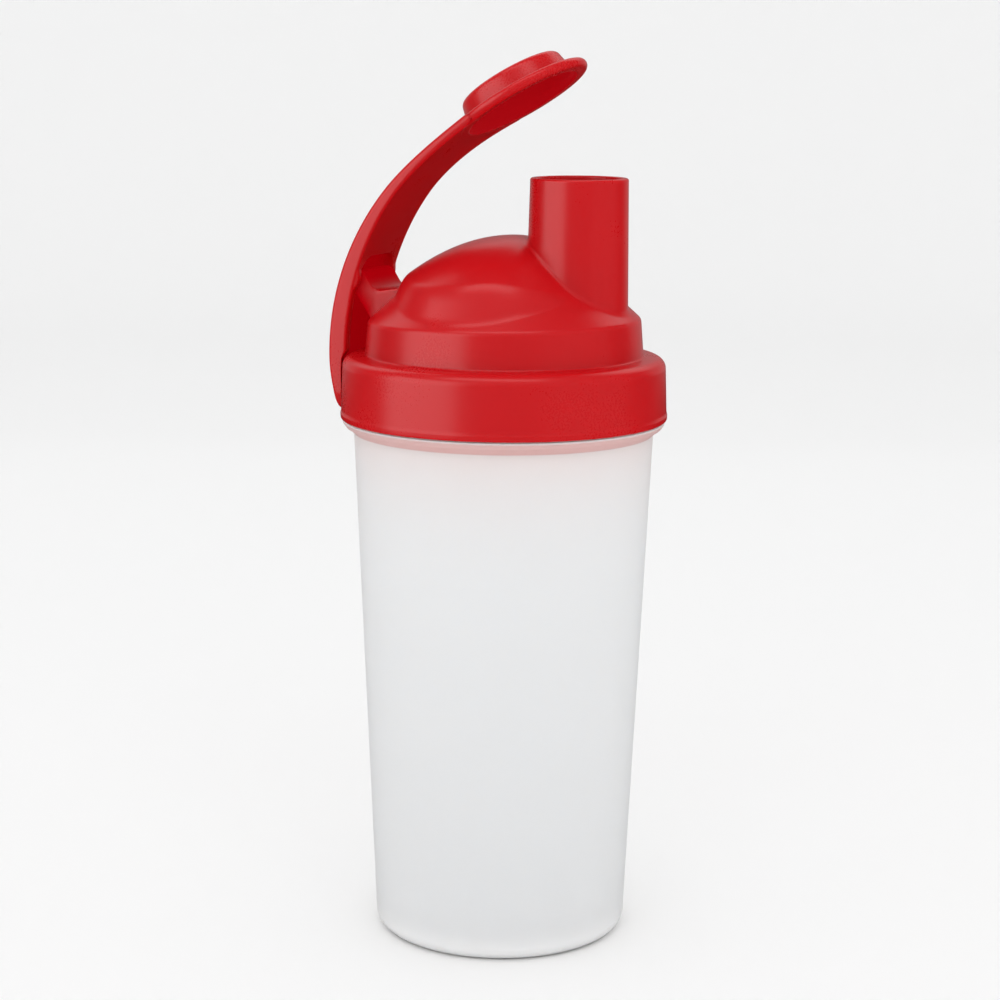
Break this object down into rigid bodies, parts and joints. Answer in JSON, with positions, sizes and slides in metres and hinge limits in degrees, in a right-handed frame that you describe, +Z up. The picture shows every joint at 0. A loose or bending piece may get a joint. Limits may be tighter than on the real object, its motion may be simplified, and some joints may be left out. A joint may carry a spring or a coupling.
{
  "type": "protein shaker bottle",
  "caption": "Tapered frosted mixing cup with a screw-on spouted lid, a sieve inside, and a flip cap on an arched arm hinged behind the lid.",
  "frame": {"origin": "centre of the cup's foot, on the surface it stands on", "axes": "+Z up along the cup's axis, +X towards the drinking spout, the flip cap's hinge lies towards -X"},
  "size_m": [0.101, 0.0982, 0.2663],
  "materials": {
    "cup": "frosted translucent polypropylene",
    "lid": "satin moulded polypropylene",
    "flip_cap": "satin moulded polypropylene",
    "spout_seal": "matt silicone rubber",
    "lid_gasket": "matt silicone rubber",
    "strainer": "moulded polypropylene"
  },
  "bodies": {
    "cup": {"cup": "cup"},
    "strainer": {"strainer": "strainer"},
    "lid": {"lid": "lid", "lid_gasket": "lid_gasket"},
    "flip_cap": {"flip_cap": "flip_cap", "spout_seal": "spout_seal"}
  },
  "joints": [
    {"name": "lid_lift", "type": "slide", "parent": "cup", "child": "strainer", "axis": [0, 0, 1], "range_m": [0, 0.006]},
    {"name": "lid_turn", "type": "hinge", "parent": "strainer", "child": "lid", "pos_m": [0, 0, 0.165], "axis": [0, 0, 1], "range_deg": [0, 360]},
    {"name": "flip_cap_hinge", "type": "hinge", "parent": "lid", "child": "flip_cap", "pos_m": [-0.044, 0, 0.199], "axis": [0, 1, 0], "range_deg": [0, 26]}
  ],
  "couplings": [
    {"joint": "lid_lift", "follows": "lid_turn", "m_per_rad": 0.00095493}
  ]
}
